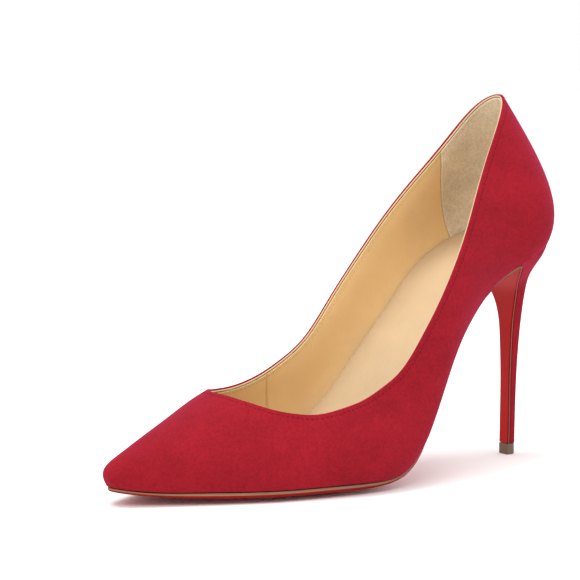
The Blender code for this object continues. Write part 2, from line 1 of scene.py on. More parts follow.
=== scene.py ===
"""High heel pump, left shoe: the visible pieces and their finishes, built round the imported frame.

Design lengths are in millimetres, with x from the toe tip to the back, y towards the inner side
of the foot and z up. Each piece is moved to the frame, in metres, as it is made.
"""

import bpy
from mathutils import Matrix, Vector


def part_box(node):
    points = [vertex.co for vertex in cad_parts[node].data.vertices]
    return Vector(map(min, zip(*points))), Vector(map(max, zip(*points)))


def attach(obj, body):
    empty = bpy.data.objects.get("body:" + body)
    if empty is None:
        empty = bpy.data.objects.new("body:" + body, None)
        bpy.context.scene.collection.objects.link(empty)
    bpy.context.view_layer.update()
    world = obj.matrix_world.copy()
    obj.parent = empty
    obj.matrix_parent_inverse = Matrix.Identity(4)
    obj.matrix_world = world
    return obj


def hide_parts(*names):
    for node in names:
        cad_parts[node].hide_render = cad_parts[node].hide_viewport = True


bl_info = {
    "name": "High Heel Pump",
    "version": (1, 0, 0),
    "blender": (4, 5, 0),
    "location": "View3D > Sidebar > Pump",
    "description": "Builds the visible pieces and finishes of a high heel pump round its frame",
    "category": "Object",
}

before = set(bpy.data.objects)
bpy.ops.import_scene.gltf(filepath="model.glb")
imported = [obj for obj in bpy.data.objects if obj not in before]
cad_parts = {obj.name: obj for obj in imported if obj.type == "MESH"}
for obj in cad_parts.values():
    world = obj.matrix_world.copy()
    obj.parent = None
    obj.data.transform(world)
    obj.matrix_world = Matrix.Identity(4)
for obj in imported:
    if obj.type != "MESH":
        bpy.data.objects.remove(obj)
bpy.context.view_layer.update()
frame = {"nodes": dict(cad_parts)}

import math

import bmesh
import bpy
import numpy as np
from mathutils import Matrix, Vector
from mathutils.bvhtree import BVHTree

MM = 0.001
ROD_X = 203.0
ROD_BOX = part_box("heel_rod")
ORIGIN = np.array([
    ROD_X * MM - (ROD_BOX[0].x + ROD_BOX[1].x) / 2, -(ROD_BOX[0].y + ROD_BOX[1].y) / 2, 0.0,
]) / MM

UPPER_SKIN = 0.45
SHELL_LIMIT = 1.5
STIFFENER_DEPTH = 0.75
STIFFENER_THICKNESS = 0.6
STIFFENER_COLOUR = (0.75, 0.72, 0.66)
PUFF_END = 3.8
COUNTER_START = 12.8
COUNTER_DROP = 9
HEM_RADIUS = 0.6
HEM_STEPS = 8
HEM_TAIL = 1.2
BEAD_RADIUS = 0.34
BEAD_RISE = 0.25
BEAD_REACH = 0.7
INNER_THREAD_SHARE = 0.8
LINING_TOP_DEPTH = 1.75
LINING_DEPTH = 2.1
# Distances below the topline over which the lining reaches its full depth.
LINING_SPAN = (1, 7)
LINING_SKIN = 0.5
LINING_DROP = 0.2
SOCK_LEVEL = 6.0
SOCK_THICKNESS = 0.8
SOCK_CLEAR = 3.0
SOCK_SHARES = 10
# Stations over which the sock gives up the extra room it leaves at the toe tip.
SOCK_NOSE = (1, 4)
WALL_LEAN_SHARE = 0.6
SOLE_TOE = 1.0
SOLE_FOREPART = 2.2
SOLE_WAIST = 1.3
SOLE_FLAP = 1.0
SOLE_GAP = 0.35
SOLE_INSET = 0.5
WAIST_INSET = 1.6
# Stretches of x where the sole reaches its forepart, waist and flap thickness in turn.
SOLE_SPANS = [(-5, 40), (85, 125), (186, 196)]
# Stations where the sole's edge draws in to the waist, and where it comes out again.
WAIST_START = (9.5, 11.5)
WAIST_STOP = (13, 14.3)
SOLE_SHARES = 12
# Stretch of x where the underside turns from straight down to square with the top face.
SOLE_NOSE = (16, 30)
# Rows of the flap, the heel level of its first one, and how many rows its bend takes each way.
FLAP_ROWS = 70
FLAP_LEVEL = 0.15
FLAP_TURN = 2
COVER_THICKNESS = 0.5
COVER_TURNS = 28
SEAT_BLEND = 0.8
TOP_PIECE_HEIGHT = 4.7
TOP_PIECE_TURNS = 20
MARGIN_SHARES = [0.3, 0.2, 0.1, 0.04]
NOSE_CLEAR = 1.05
VAMP_END = 8.65
GRIP_START = 14.85
CUT_END = 11
ROUND_END = 6.25
# How far forward the columns start round the throat, and the stations over which they lean.
THROAT_LEAN = 0.6
LEAN_BEFORE = 2.5
LEAN_AFTER = 3
CENTRE_SPAN = (14, 196)
TOE_TIP_Y = 1.6
BREAST_X = 188.0
BREAST_LEAD = 0.1
MARK_GAP = 0.05
FRONT_SHARE = 0.3
FLAT_SHARE = 0.4
GROOVE_DEPTH = 0.1
GROOVE_WIDTH = 0.4
BACK_SEAM_DEPTH = 0.22
BACK_SEAM_WIDTH = 0.4
BACK_SEAM_X = 190
# Distances below the topline where the wall has its closest rows.
TOP_ZONE = [0, 0.35, 0.75, 1.05, 1.3, 1.5, 1.7, 1.95, 2.3, 2.8, 3.7, 5, 6.8, 9]
TOP_ZONE_SHARE = 0.55
LOW_ROWS = 17
WALL_SAMPLES = 97
EDGE_ROUND = 0.35
# Edge of the sole: share of its thickness and bulge; the first rows are raw, the rest red lacquer
# darkened as painted shade.
SOLE_EDGE = [(0.12, -0.05), (0.3, 0.05), (0.52, 0.08), (0.6, 0.08), (0.85, -0.08)]
RAW_ROWS = 3
# How much darker the red lacquer is on the sole's edge than underneath: painted shade.
EDGE_LACQUER_PAINTED_SHADE = 0.5
SEAM_GAP = 0.002
MERGE_DISTANCE = 0.00002
SLIVER = 0.00001
# Angles, in degrees, past which an edge stays sharp: on sheets, on solids and in general.
SHEET_ANGLE = 60
SOLID_ANGLE = 40
SHARP_ANGLE = 50
FLOOR_SIZE = 40
SKY_STRENGTH = 1.08
LIGHTS = (
    ("key", (-0.9, -1.0, 1.3), 0.9, 8),
    ("fill", (0.9, -1.3, 0.8), 1.0, 2),
    ("top light", (-0.3, 0.1, 1.6), 1.0, 17),
)
LIGHT_AIM = (0, 0, 0.06)
CAMERA_LENS = 158.05
CAMERA_SENSOR = 36
CAMERA_REACH = 200
CAMERA_PLACE = (-510.45, -838.67, 201.9)
CAMERA_TURN = (0.61821, 0.11808)

# Last stations from toe tip to back: x, then y of the feather edge on the outer and inner side.
FEATHER = [
    (0, 1.5, 1.5), (1, -1.7, 4.7), (4.5, -5, 8.2), (12, -9.2, 12.6), (26, -16.4, 20.3),
    (42, -24.2, 28.5), (58, -30.9, 34.2), (74, -34.9, 36.6), (90, -37.9, 34.8),
    (106, -39, 30), (122, -37, 26), (137, -32.6, 23.8), (152, -28, 23.2), (167, -25.4, 24),
    (181, -25, 24.8), (194, -24.8, 24.8), (207.3, -19, 19), (213.5, 0, 0),
]
# Height of the feather edge against x: the two sides share the front and the back.
FRONT_HEIGHT = [(0, 8), (12, 6.3), (30, 5.5), (50, 5.1)]
BACK_HEIGHT = [(158, 61.8), (167, 71.8), (176, 79.5), (188, 86), (200, 90.6), (213.5, 95.5)]
OUTER_HEIGHT = FRONT_HEIGHT + [
    (75, 5), (95, 5), (107, 5.2), (117, 7.4), (126, 14), (136, 28.5), (147, 46.5),
] + BACK_HEIGHT
INNER_HEIGHT = FRONT_HEIGHT + [
    (75, 5.3), (90, 6.2), (102, 9), (114, 15.5), (126, 26), (137, 39), (148, 51.5),
] + BACK_HEIGHT
# Upper edge of the wall at the same stations: the vamp ridge up to the throat, then each side.
RIDGE = [
    (0, 1.5, 8), (-1.3, 1.7, 11.8), (0.6, 2.1, 16.2), (9, 2.8, 20.6), (22, 3.6, 26.4),
    (37, 4.5, 33), (52, 5.2, 40),
]
OUTER_TOP = [
    (66, 0.5, 47), (80, -13, 51), (97, -27, 49), (114, -35.2, 50), (128.5, -36.8, 65),
    (140.5, -35.9, 83), (152, -32.2, 101), (163, -26, 117.5), (175.5, -18.5, 134),
    (188.2, -11.2, 149.5), (196.2, 0, 157),
]
INNER_TOP = [
    (66, 9.5, 47), (80, 18, 51), (95, 24.5, 51), (111, 26.3, 56), (125, 26, 72),
    (138.5, 24.8, 89.5), (151.3, 23, 105.5), (163, 18.5, 120.5), (175.5, 13.2, 136),
    (189.1, 8.6, 151.6), (196.2, 0, 157),
]
THROAT = 6
BACK = 17
# Share of the wall kept below the topline, against the station number.
OUTER_CUT = [
    (6, 1), (6.25, 0.765), (6.56, 0.65), (7.05, 0.567), (7.7, 0.55), (8.3, 0.62), (9, 0.75),
    (9.6, 0.88), (10.2, 0.96), (11, 1),
]
INNER_CUT = [
    (6, 1), (6.2, 0.85), (6.5, 0.75), (6.9, 0.69), (7.3, 0.672), (7.8, 0.69), (8.3, 0.75),
    (9.1, 0.88), (10, 0.98), (11, 1),
]
# Wall shape at each station: outward lean at the feather edge and at the top, in degrees.
OUTER_LEAN = [20, 20, 20, 18, 14, 12, 12, 16, 24, 32, 40, 42, 40, 36, 32, 30, 30, 28]
INNER_LEAN = [20, 20, 20, 18, 14, 12, 12, 14, 18, 24, 32, 34, 34, 32, 30, 30, 30, 28]
OUTER_CROWN = [90, 90, 90, 90, 90, 90, 90, 76, 55, 32, 14, 8, 8, 14, 22, 30, 36, 34]
INNER_CROWN = [90, 90, 90, 90, 90, 90, 90, 70, 45, 25, 12, 8, 8, 12, 20, 28, 36, 34]
# Length of the wall's curve handles at the same stations, as shares of its height.
LOWER_PULL = [0.4, 0.4, 0.4, 0.4, 0.4, 0.4, 0.4, 0.4, 0.4, 0.38, 0.36] + [0.34] * 7
UPPER_PULL = [0.5, 0.5, 0.5, 0.48, 0.46, 0.44, 0.42, 0.4, 0.38] + [0.36] * 9
# Downward crown of the bottom between its two edges, against x.
BOTTOM_CROWN = [(0, 0.2), (20, 1.2), (55, 2.75), (95, 2.85), (120, 1.6), (150, 0.8), (188, 0.2),
                (213.5, 0)]
# Slopes of the feather edge, the topline and its spread at their ends, per station.
TIP_SLOPE = 3.4
REAR_SLOPE = 22
RIDGE_SLOPE = (0, 0, 4.2)
SPREAD_SLOPE = (0, 12, 0)
# Heel levels from seat to tip: front x and z, half width, back x and z.
HEEL = [
    (188, 86, 24.9, 213.5, 95.5), (191.6, 81.6, 19.5, 210.9, 89.5),
    (195.8, 76.4, 12.8, 209.6, 83), (199, 71, 8.2, 209, 76), (200.3, 61.5, 5, 208.4, 64),
    (200.5, 50, 3.7, 207.3, 51), (200.5, 35, 3.05, 206.3, 35.5), (200.4, 20, 2.95, 205.7, 20),
    (200.2, 5, 2.9, 205.4, 5),
]
# Rows of the heel cover: first and last level, and their number, at the seat and below it.
SEAT_LEVELS = (0, 1.4, 15)
STEM_LEVELS = (1.5, len(HEEL) - 1, 54)


def spline(knots, values, start=None, end=None):
    """Cubic spline through values, natural at an end unless its slope is given."""
    knots = np.asarray(knots, float)
    values = np.asarray(values, float).reshape(len(knots), -1)
    step = np.diff(knots)[:, None]
    slope = np.diff(values, axis=0) / step
    size = len(knots)
    matrix = np.eye(size)
    right = np.zeros_like(values)
    for i in range(1, size - 1):
        before, after = step[i - 1, 0], step[i, 0]
        matrix[i, i - 1:i + 2] = (before, 2 * (before + after), after)
        right[i] = 6 * (slope[i] - slope[i - 1])
    if start is not None:
        matrix[0, :2] = (2, 1)
        right[0] = 6 * (slope[0] - np.asarray(start, float)) / step[0]
    if end is not None:
        matrix[-1, -2:] = (1, 2)
        right[-1] = 6 * (np.asarray(end, float) - slope[-1]) / step[-1]
    bend = np.linalg.solve(matrix, right)

    def at(where):
        where = np.atleast_1d(np.asarray(where, float))
        i = np.clip(np.searchsorted(knots, where) - 1, 0, size - 2)
        width = step[i]
        a = (knots[i + 1] - where)[:, None] / width
        b = (where - knots[i])[:, None] / width
        curve = (a ** 3 - a) * bend[i] + (b ** 3 - b) * bend[i + 1]
        return a * values[i] + b * values[i + 1] + curve * width ** 2 / 6

    return at


def smooth_step(value, low, high):
    share = np.clip((value - low) / (high - low), 0, 1)
    return share * share * (3 - 2 * share)


def unit(vectors):
    length = np.linalg.norm(vectors, axis=-1, keepdims=True)
    return vectors / np.maximum(length, 1e-9)


class Side:
    """One side of the last: sign is -1 on the outer side and +1 on the inner side."""

    def __init__(self, sign, height, cut, lean, crown):
        stations = np.arange(BACK + 1)
        column = 1 if sign < 0 else 2
        edge = [(row[0], row[column]) for row in FEATHER]
        self.sign = sign
        self.edge = spline(stations, edge, (0, TIP_SLOPE * sign), (0, -REAR_SLOPE * sign))
        self.height = spline(*zip(*height))
        self.round_end, share = cut[1]
        self.round_drop = 1 - share
        slope = -self.round_drop / (2 * (self.round_end - THROAT))
        self.cut = spline(*zip(*cut[1:]), start=slope, end=0)
        self.lean = spline(stations, np.radians(lean), 0, 0)
        self.crown = spline(stations, np.radians(crown), 0, 0)

    def feather(self, u):
        flat = self.edge(u)
        return np.hstack([flat, self.height(flat[:, 0])])

    def outward(self, u):
        along = unit(self.edge(np.clip(u + 1e-4, 0, BACK)) - self.edge(np.clip(u - 1e-4, 0, BACK)))
        normal = np.stack([along[:, 1], -along[:, 0], np.zeros(len(u))], 1)
        return -self.sign * normal

    def top(self, u):
        return MIDDLE_TOP(u) - self.sign * np.where(u[:, None] > THROAT, HALF_SPREAD(u), 0)

    def kept(self, u):
        ahead = np.clip((u - THROAT) / (self.round_end - THROAT), 0, 1)
        rounded = 1 - self.round_drop * np.sqrt(ahead)
        share = self.cut(np.clip(u, self.round_end, CUT_END))[:, 0]
        return np.where(ahead < 1, rounded, np.clip(share, 0, 1))

    def wall(self, u, v):
        """Points of the outside face, for stations u and a table of wall shares v."""
        low, high = self.feather(u), self.top(u)
        out = self.outward(u)
        chord = high - low
        length = np.linalg.norm(chord, axis=1, keepdims=True)
        rise = chord - (chord * out).sum(1, keepdims=True) * out
        rise = np.where(length > 1e-6, unit(rise), [[0, 0, 1]])
        turn = smooth_step(u, THROAT, CUT_END)[:, None]
        across = unit((1 - turn) * np.array([[0, self.sign, 0]]) + turn * out)
        lean, crown = self.lean(u), self.crown(u)
        first = low + LOWER(u) * length * (np.cos(lean) * rise + np.sin(lean) * out)
        last = high + UPPER(u) * length * (np.sin(crown) * across - np.cos(crown) * rise)
        v = v[:, :, None]
        return (
            (1 - v) ** 3 * low[:, None] + 3 * v * (1 - v) ** 2 * first[:, None]
            + 3 * v ** 2 * (1 - v) * last[:, None] + v ** 3 * high[:, None]
        )


OUTER = Side(-1, OUTER_HEIGHT, OUTER_CUT, OUTER_LEAN, OUTER_CROWN)
INNER = Side(1, INNER_HEIGHT, INNER_CUT, INNER_LEAN, INNER_CROWN)
LOWER = spline(np.arange(BACK + 1), LOWER_PULL, 0, 0)
UPPER = spline(np.arange(BACK + 1), UPPER_PULL, 0, 0)
CROWN = spline(*zip(*BOTTOM_CROWN))
OUTER_EDGE = np.array(RIDGE + OUTER_TOP, float)
INNER_EDGE = np.array(RIDGE + INNER_TOP, float)
MIDDLE_TOP = spline(np.arange(BACK + 1), (OUTER_EDGE + INNER_EDGE) / 2, RIDGE_SLOPE, (0, 0, 0))
HALF_SPREAD = spline(
    np.arange(THROAT, BACK + 1), (OUTER_EDGE - INNER_EDGE)[THROAT:] / 2, (0, 0, 0), SPREAD_SLOPE
)
HEEL_LEVEL = spline(np.arange(len(HEEL)), HEEL)


def centre_of(u):
    """The bottom's middle line at stations u, kept short of both ends."""
    middle = (OUTER.edge(u) + INNER.edge(u)) / 2
    x = np.clip(middle[:, 0], *CENTRE_SPAN)
    y = np.where(middle[:, 0] < CENTRE_SPAN[0], TOE_TIP_Y, middle[:, 1])
    z = (OUTER.height(x) + INNER.height(x)) / 2
    return np.stack([x, y, z[:, 0]], 1)


def marks_between(*runs):
    """Station numbers in runs of (start, stop, step), each given once."""
    found = [np.arange(start, stop - step / 2, step) for start, stop, step in runs]
    return [float(round(mark, 4)) for mark in np.concatenate(found)]


FRONT_MARKS = marks_between((0, 5.64, 0.12), (5.64, 6, 0.04))
FRONT_MARKS += [THROAT + (ROUND_END - THROAT) * share ** 2 for share in np.linspace(0, 1, 13)]
REAR_MARKS = marks_between((6.33, 9, 0.08), (9, 16, 0.1), (16, 16.9, 0.06))
REAR_MARKS += [16.94, 16.97]
HALF_RING = FRONT_MARKS + REAR_MARKS


def ring(start, stop):
    """Places round the shoe: 0 at the toe, up to 17 at the back outside, negative inside.

    A patch that crosses the back goes on past 17 and down the inner side.
    """
    marks = [-mark for mark in HALF_RING] + HALF_RING + [BACK]
    marks += [2 * BACK - mark for mark in HALF_RING]
    inside = [mark for mark in sorted(set(marks)) if start < mark < stop]
    return [start] + inside + [stop]


def side_of(place):
    """The side and its own station for a place round the ring."""
    if place > BACK:
        return INNER, np.array([2.0 * BACK - place])
    if place < 0:
        return INNER, np.array([-float(place)])
    return OUTER, np.array([float(place)])


def bottom_row(place, inset, shares):
    """Points of the bottom face, from an edge inside the feather edge to the middle line."""
    side, u = side_of(place)
    edge, centre = side.feather(u), centre_of(u)
    first = inset / np.linalg.norm(centre - edge)
    share = first + (1 - first) * np.asarray(shares, float)[:, None]
    row = edge + share * (centre - edge)
    row[:, 2:] -= CROWN(row[:, 0]) * (1 - (1 - share) ** 2)
    return row


def steps_along(points):
    """Length of each step of a polyline, and the distance along it at each point."""
    steps = np.linalg.norm(np.diff(points, axis=0), axis=1)
    return steps, np.concatenate([[0], np.cumsum(steps)])


def along_curve(points, marks):
    """Points of a polyline at distances along it."""
    _, length = steps_along(points)
    return np.stack([np.interp(marks, length, points[:, k]) for k in range(3)], 1)


def length_of(points):
    return float(steps_along(points)[0].sum())


def foot_station(u):
    """Station where the column that ends at station u of the top edge starts at the feather edge.

    The columns lean forward round the throat, so that none runs along its edge.
    """
    if u <= THROAT:
        return u - THROAT_LEAN * float(smooth_step(u, THROAT - LEAN_BEFORE, THROAT))
    if u < ROUND_END:
        return THROAT - THROAT_LEAN * (1 - math.sqrt((u - THROAT) / (ROUND_END - THROAT)))
    settled = float(smooth_step(u, ROUND_END, ROUND_END + LEAN_AFTER))
    return u - (ROUND_END - THROAT) * (1 - settled)


def wall_row(place, drop):
    """One column of the lasted upper: the turned-in margin, then the wall up to the topline.

    The top is lowered by the drop, all the way round the opening.
    """
    side, u = side_of(place)
    foot = foot_station(u[0])
    share = np.linspace(0, 1, WALL_SAMPLES)
    stations = foot + (u[0] - foot) * share ** 3
    dense = side.wall(stations, (share * side.kept(u)[0])[:, None])[:, 0]
    total = length_of(dense)
    top = total - drop * float(smooth_step(u[0], THROAT, ROUND_END))
    zone = min(1, TOP_ZONE_SHARE * total / TOP_ZONE[-1]) * np.array(TOP_ZONE)
    low = np.linspace(0, top - zone[-1], LOW_ROWS, endpoint=False)
    row = along_curve(dense, np.concatenate([low, top - zone[::-1]]))
    under = math.copysign(foot, place) if abs(place) <= BACK else place + u[0] - foot
    return np.vstack([bottom_row(under, 0, MARGIN_SHARES), row])


def to_frame(points):
    return (np.asarray(points) - ORIGIN) * MM


def to_design(vector):
    return np.array(vector) / MM + ORIGIN


def grid_mesh(rows, tags=()):
    """A bmesh grid laid on a table of points in design millimetres, with its seams joined.

    tags are (name, table) pairs, kept on the vertices as number layers.
    """
    rows = np.asarray(rows)
    mesh = bmesh.new()
    bmesh.ops.create_grid(
        mesh, x_segments=rows.shape[1] - 1, y_segments=rows.shape[0] - 1, size=1
    )
    layers = [(mesh.verts.layers.float.new(name), np.ravel(table)) for name, table in tags]
    mesh.verts.ensure_lookup_table()
    for index, (vert, point) in enumerate(zip(mesh.verts, to_frame(rows.reshape(-1, 3)))):
        vert.co = point
        for layer, values in layers:
            vert[layer] = values[index]
    bmesh.ops.remove_doubles(mesh, verts=mesh.verts, dist=MERGE_DISTANCE)
    bmesh.ops.dissolve_degenerate(mesh, edges=mesh.edges, dist=SLIVER)
    return mesh


def sink(mesh, depth):
    """Move an open sheet against its normals by a depth: one number, or a function of a vertex."""
    mesh.normal_update()
    moves = [
        (vert, vert.normal * min(vert.calc_shell_factor(), SHELL_LIMIT)) for vert in mesh.verts
    ]
    for vert, direction in moves:
        far = depth(vert) if callable(depth) else depth
        vert.co -= direction * far * MM


def wall_sheet(start, stop, clear, drop):
    """The lasted surface between two places, without the columns too close to the toe tip.

    Its vertices carry two layers: rim marks the topline, and below is the distance down from it.
    """
    places = [place for place in ring(start, stop) if not 0 < abs(place) < clear]
    rows = np.array([wall_row(place, drop) for place in places])
    rim = np.zeros(rows.shape[:2])
    for index, place in enumerate(places):
        rim[index, -1] = min(abs(place), 2 * BACK - abs(place)) >= THROAT
    below = np.zeros(rows.shape[:2])
    tail = np.linalg.norm(np.diff(rows, axis=1), axis=2)
    below[:, :-1] = np.cumsum(tail[:, ::-1], axis=1)[:, ::-1]
    mesh = grid_mesh(rows, [("rim", rim), ("below", below)])
    bmesh.ops.reverse_faces(mesh, faces=mesh.faces)
    mesh.normal_update()
    return mesh


def rim_frames(mesh):
    """(vertex, outward, up, along) for each vertex of the topline, in order round it."""
    rim = mesh.verts.layers.float["rim"]
    links = {}
    for edge in mesh.edges:
        if edge.is_boundary and all(vert[rim] > 0.5 for vert in edge.verts):
            first, second = edge.verts
            links.setdefault(first, []).append(second)
            links.setdefault(second, []).append(first)
    order = [next(iter(links))]
    while len(order) < len(links):
        ahead = [vert for vert in links[order[-1]] if len(order) < 2 or vert is not order[-2]]
        order.append(ahead[0])
    frames = []
    for index, vert in enumerate(order):
        along = (order[(index + 1) % len(order)].co - order[index - 1].co).normalized()
        outward = (vert.normal - vert.normal.dot(along) * along).normalized()
        up = along.cross(outward)
        inner = sum((face.calc_center_median() for face in vert.link_faces), Vector())
        if up.dot(vert.co - inner / len(vert.link_faces)) < 0:
            up = -up
        frames.append((vert, outward, up, along))
    return frames


def extend(mesh, edges, place_of):
    """Extrude border edges once; place_of gives each new vertex its place from its old one."""
    old = {vert for edge in edges for vert in edge.verts}
    made = bmesh.ops.extrude_edge_only(mesh, edges=edges)["geom"]
    fresh = [item for item in made if isinstance(item, bmesh.types.BMVert)]
    origin = {}
    for vert in fresh:
        source = [edge.other_vert(vert) for edge in vert.link_edges]
        origin[vert] = next(other for other in source if other in old)
    for vert, source in origin.items():
        vert.co = place_of(source)
    return [item for item in made if isinstance(item, bmesh.types.BMEdge)], origin


def roll_hem(mesh, radius, tail):
    """Fold the topline inwards over a round edge, and on down the inside for a short tail."""
    frames = {vert: (vert.co.copy(), outward, up) for vert, outward, up, _ in rim_frames(mesh)}
    edges = [
        edge for edge in mesh.edges
        if edge.is_boundary and all(vert in frames for vert in edge.verts)
    ]
    turns = [math.pi * step / HEM_STEPS for step in range(1, HEM_STEPS + 1)]
    stops = [(radius * (math.cos(turn) - 1), radius * math.sin(turn)) for turn in turns]
    stops += [(-2 * radius, -tail / 2), (-2 * radius, -tail)]
    for across, rise in stops:

        def place_of(source):
            point, outward, up = frames[source]
            return point + (across * outward + rise * up) * MM

        edges, origin = extend(mesh, edges, place_of)
        edges = [edge for edge in edges if all(vert in origin for vert in edge.verts)]
        frames = {vert: frames[source] for vert, source in origin.items()}


def sewing_groove(mesh, distance):
    """Press a shallow groove into the sheet where the stitches pull it in."""
    rim = mesh.verts.layers.float["rim"]
    line = np.array([vert.co for vert in mesh.verts if vert[rim] > 0.5]) / MM
    moves = []
    for vert in mesh.verts:
        gap = float(np.sqrt(((line - np.array(vert.co) / MM) ** 2).sum(1).min()))
        if abs(gap - distance) < 3 * GROOVE_WIDTH:
            press = GROOVE_DEPTH * math.exp(-((gap - distance) / GROOVE_WIDTH) ** 2)
            moves.append((vert, vert.normal * press * MM))
    for vert, move in moves:
        vert.co -= move


def back_seam(mesh):
    """Draw the sheet in along the seam down the middle of the back."""
    for vert in mesh.verts:
        x, y, _ = to_design(vert.co)
        if x > BACK_SEAM_X and abs(y) < 2 * BACK_SEAM_WIDTH:
            vert.co -= vert.normal * BACK_SEAM_DEPTH * MM * math.exp(-(y / BACK_SEAM_WIDTH) ** 2)


def drop_old(name):
    """Remove the object that an earlier run of an operator left."""
    if name in bpy.data.objects:
        bpy.data.objects.remove(bpy.data.objects[name])


def finish_object(name, mesh, materials, smooth_angle=SHARP_ANGLE):
    """Turn a bmesh into an object with smooth shading up to an angle."""
    drop_old(name)
    data = bpy.data.meshes.new(name)
    mesh.to_mesh(data)
    mesh.free()
    for made in materials:
        data.materials.append(made)
    data.shade_smooth()
    data.set_sharp_from_angle(angle=math.radians(smooth_angle))
    made = bpy.data.objects.new(name, data)
    bpy.context.scene.collection.objects.link(made)
    return made


def thicken(made, thickness, even=False):
    """Give a sheet its thickness, on the side away from its normals."""
    solid = made.modifiers.new("thickness", "SOLIDIFY")
    solid.thickness = thickness * MM
    solid.offset = -1
    solid.use_even_offset = even


def soften(made, width, segments=2):
    """Round the sharp edges of a piece."""
    bevel = made.modifiers.new("soft edges", "BEVEL")
    bevel.width = width * MM
    bevel.segments = segments
    bevel.limit_method = "ANGLE"
    bevel.angle_limit = math.radians(SHARP_ANGLE)


def keep(made, slot, *nodes):
    """Let a finished piece ride on the shoe, and stand for its frame nodes."""
    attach(made, "root")
    if nodes:
        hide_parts(*nodes)


def round_bar(points, outward, up, radius, sides=8):
    """A closed round bar along a closed path of points with their two cross directions."""
    turns = np.linspace(0, 2 * math.pi, sides + 1)
    rows = points[:, None] + radius * (
        np.cos(turns)[:, None] * outward[:, None] + np.sin(turns)[:, None] * up[:, None]
    )
    mesh = grid_mesh(np.vstack([rows, rows[:1]]))
    bmesh.ops.recalc_face_normals(mesh, faces=mesh.faces)
    return mesh


def heel_outline(level, front, turns):
    """D-shaped outline of a heel level, from the outer front corner round the back.

    front is how far its flat side stands back from the level's own front.
    """
    front_x, front_z, half, back_x, back_z = HEEL_LEVEL(level)[0]
    around = np.linspace(-1, 1, 2 * turns + 1)
    size = np.abs(around)
    angle = np.clip(size / (1 - FRONT_SHARE), 0, 1) * math.pi / 2
    depth = np.where(
        size > 1 - FRONT_SHARE,
        (1 - size) / FRONT_SHARE * FLAT_SHARE,
        FLAT_SHARE + (1 - FLAT_SHARE) * np.cos(angle),
    )
    length = back_x - front_x
    depth = front / length + (1 - front / length) * depth
    return np.stack([
        front_x + length * depth,
        np.sin(angle) * np.sign(around) * half,
        front_z + (back_z - front_z) * depth,
    ], 1)


def evenly(points, count):
    return along_curve(points, np.linspace(0, length_of(points), count))


FEATHER_X = [row[0] for row in FEATHER]
BREAST = float(np.interp(BREAST_X, FEATHER_X, np.arange(BACK + 1))) - BREAST_LEAD


def cover_outline(level):
    """Outline of the heel cover, which starts along the feather edge of the upper."""
    count = 2 * COVER_TURNS + 1
    shaped = evenly(heel_outline(level, SOLE_FLAP + SOLE_GAP, COVER_TURNS), count)
    places = np.linspace(BREAST, 2 * BACK - BREAST, 4 * COVER_TURNS + 1)
    seat = []
    for place in places:
        side, u = side_of(place)
        seat.append(side.feather(u)[0])
    blend = 1 - smooth_step(level, 0, SEAT_BLEND)
    return shaped + blend * (evenly(np.array(seat), count) - shaped)


def sole_thickness(x):
    steps = np.diff([SOLE_TOE, SOLE_FOREPART, SOLE_WAIST, SOLE_FLAP])
    return sum((smooth_step(x, *span) * step for span, step in zip(SOLE_SPANS, steps)), SOLE_TOE)


def sole_top():
    """Top face of the sole, from the toe to the breast and on down the front of the heel."""
    across = np.linspace(0, 1, SOLE_SHARES + 1)
    rows, thickness = [], []
    for u in [mark for mark in HALF_RING if mark < BREAST - MARK_GAP] + [BREAST]:
        waist = smooth_step(u, *WAIST_START) * (1 - smooth_step(u, *WAIST_STOP))
        inset = SOLE_INSET + waist * WAIST_INSET
        inner, outer = bottom_row(-u, inset, across), bottom_row(u, inset, across)
        rows.append(np.vstack([inner, outer[-2::-1]]))
        thickness.append(sole_thickness(rows[-1][SOLE_SHARES, 0]))
    for level in np.linspace(FLAP_LEVEL, len(HEEL) - 1, FLAP_ROWS):
        front_x, front_z, half = HEEL_LEVEL(level)[0, :3]
        y = np.linspace(half, -half, 2 * SOLE_SHARES + 1)
        rows.append(np.stack([0 * y + front_x + SOLE_FLAP, y, 0 * y + front_z], 1))
        thickness.append(SOLE_FLAP)
    return np.array(rows), np.array(thickness)


